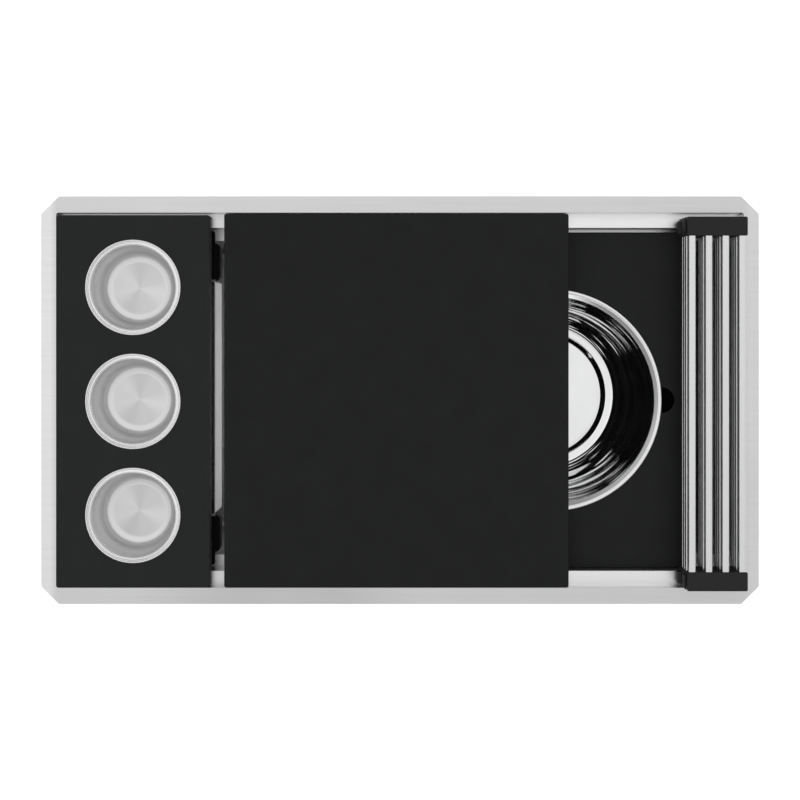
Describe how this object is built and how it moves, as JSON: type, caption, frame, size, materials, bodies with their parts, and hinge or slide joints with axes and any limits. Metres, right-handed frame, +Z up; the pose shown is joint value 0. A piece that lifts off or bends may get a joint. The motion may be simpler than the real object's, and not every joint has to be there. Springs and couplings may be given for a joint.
{
  "type": "workstation kitchen sink",
  "caption": "Undermount tiered workstation sink with sliding boards, lift-out bowls, a colander, a folding drying rack and a basket strainer.",
  "frame": {"origin": "centre of the sink's opening, at the level of the flange's top face", "axes": "+X to the user's right along the sink, +Y away from the user towards the wall, +Z up"},
  "size_m": [0.838, 0.476, 0.4535],
  "materials": {
    "brushed_stainless": "satin, brushed front to back",
    "polished_stainless": "mirror polished",
    "spun_stainless": "polished wall, spin-brushed floor",
    "tube_stainless": "satin, brushed along the tube",
    "black_composite": "matte pressed paper composite",
    "black_moulding": "matte moulded plastic",
    "black_silicone": "matte silicone",
    "pad_rubber": "matte rubber sheet",
    "seal_rubber": "smooth rubber",
    "fibre": "pressed fibre",
    "zinc_nut": "dull plated zinc",
    "white_plastic": "smooth white plastic"
  },
  "bodies": {
    "sink": {"sink_basin": "brushed_stainless", "bottom_pads": "pad_rubber", "side_pads": "pad_rubber", "strainer_body": "polished_stainless", "strainer_gasket": "seal_rubber", "friction_washer": "fibre", "lock_nut": "zinc_nut", "outlet_washer": "white_plastic", "tailpiece": "polished_stainless", "coupling_nut": "zinc_nut"},
    "basket": {"strainer_basket": "polished_stainless", "basket_seal": "seal_rubber", "basket_knob": "polished_stainless"},
    "condiment_board": {"condiment_board": "black_composite"},
    "condiment_bowl_1": {"condiment_bowl_1": "spun_stainless"},
    "condiment_bowl_2": {"condiment_bowl_2": "spun_stainless"},
    "condiment_bowl_3": {"condiment_bowl_3": "spun_stainless"},
    "cutting_board": {"cutting_board": "black_composite"},
    "bowl_board": {"bowl_board": "black_composite"},
    "mixing_bowl": {"mixing_bowl": "polished_stainless"},
    "colander": {"colander_tray": "brushed_stainless", "colander_floor": "brushed_stainless", "colander_block_back": "black_moulding", "colander_block_front": "black_moulding", "colander_screws": "polished_stainless"},
    "rack_layer_1": {"rack_bar_1": "tube_stainless", "rack_bar_2": "tube_stainless", "rack_bar_3": "tube_stainless", "rack_bar_4": "tube_stainless", "rack_strip_1_back": "black_silicone", "rack_strip_1_front": "black_silicone", "rack_web_1_back": "black_silicone", "rack_web_1_front": "black_silicone"},
    "rack_layer_2": {"rack_bar_5": "tube_stainless", "rack_bar_6": "tube_stainless", "rack_bar_7": "tube_stainless", "rack_bar_8": "tube_stainless", "rack_strip_2_back": "black_silicone", "rack_strip_2_front": "black_silicone", "rack_web_2_back": "black_silicone", "rack_web_2_front": "black_silicone"},
    "rack_layer_3": {"rack_bar_9": "tube_stainless", "rack_bar_10": "tube_stainless", "rack_bar_11": "tube_stainless", "rack_bar_12": "tube_stainless", "rack_strip_3_back": "black_silicone", "rack_strip_3_front": "black_silicone", "rack_web_3_back": "black_silicone", "rack_web_3_front": "black_silicone"},
    "rack_layer_4": {"rack_bar_13": "tube_stainless", "rack_bar_14": "tube_stainless", "rack_bar_15": "tube_stainless", "rack_bar_16": "tube_stainless", "rack_strip_4_back": "black_silicone", "rack_strip_4_front": "black_silicone"}
  },
  "joints": [
    {"name": "condiment_board_slide", "type": "slide", "parent": "sink", "child": "condiment_board", "axis": [1, 0, 0], "range_m": [0, 0.008]},
    {"name": "condiment_bowl_1_lift", "type": "slide", "parent": "condiment_board", "child": "condiment_bowl_1", "axis": [0, 0, 1], "range_m": [0, 0.06]},
    {"name": "condiment_bowl_2_lift", "type": "slide", "parent": "condiment_board", "child": "condiment_bowl_2", "axis": [0, 0, 1], "range_m": [0, 0.06]},
    {"name": "condiment_bowl_3_lift", "type": "slide", "parent": "condiment_board", "child": "condiment_bowl_3", "axis": [0, 0, 1], "range_m": [0, 0.06]},
    {"name": "cutting_board_slide", "type": "slide", "parent": "sink", "child": "cutting_board", "axis": [1, 0, 0], "range_m": [-0.008, 0.04]},
    {"name": "bowl_board_slide", "type": "slide", "parent": "sink", "child": "bowl_board", "axis": [1, 0, 0], "range_m": [-0.11, 0.054]},
    {"name": "mixing_bowl_turn", "type": "hinge", "parent": "bowl_board", "child": "mixing_bowl", "pos_m": [0.18, -0.0019, -0.036], "axis": [0, 0, 1], "continuous": true},
    {"name": "colander_slide", "type": "slide", "parent": "sink", "child": "colander", "axis": [1, 0, 0], "range_m": [0, 0.1]},
    {"name": "rack_slide", "type": "slide", "parent": "sink", "child": "rack_layer_1", "axis": [1, 0, 0], "range_m": [-0.02, 0]},
    {"name": "rack_fold_1", "type": "hinge", "parent": "rack_layer_1", "child": "rack_layer_2", "pos_m": [0.3273, 0, -0.00775], "axis": [0, -1, 0], "range_deg": [0, 163], "deforming": ["rack_web_1_back", "rack_web_1_front"]},
    {"name": "rack_fold_2", "type": "hinge", "parent": "rack_layer_2", "child": "rack_layer_3", "pos_m": [0.4001, 0, 0.00275], "axis": [0, -1, 0], "range_deg": [-163, 0], "deforming": ["rack_web_2_back", "rack_web_2_front"]},
    {"name": "rack_fold_3", "type": "hinge", "parent": "rack_layer_3", "child": "rack_layer_4", "pos_m": [0.3286, 0, 0.01325], "axis": [0, -1, 0], "range_deg": [0, 163], "deforming": ["rack_web_3_back", "rack_web_3_front"]},
    {"name": "basket_lift", "type": "slide", "parent": "sink", "child": "basket", "axis": [0, 0, 1], "range_m": [0, 0.06]}
  ],
  "couplings": [
    {"joint": "rack_fold_2", "follows": "rack_fold_1", "ratio": -1},
    {"joint": "rack_fold_3", "follows": "rack_fold_1", "ratio": 1}
  ]
}
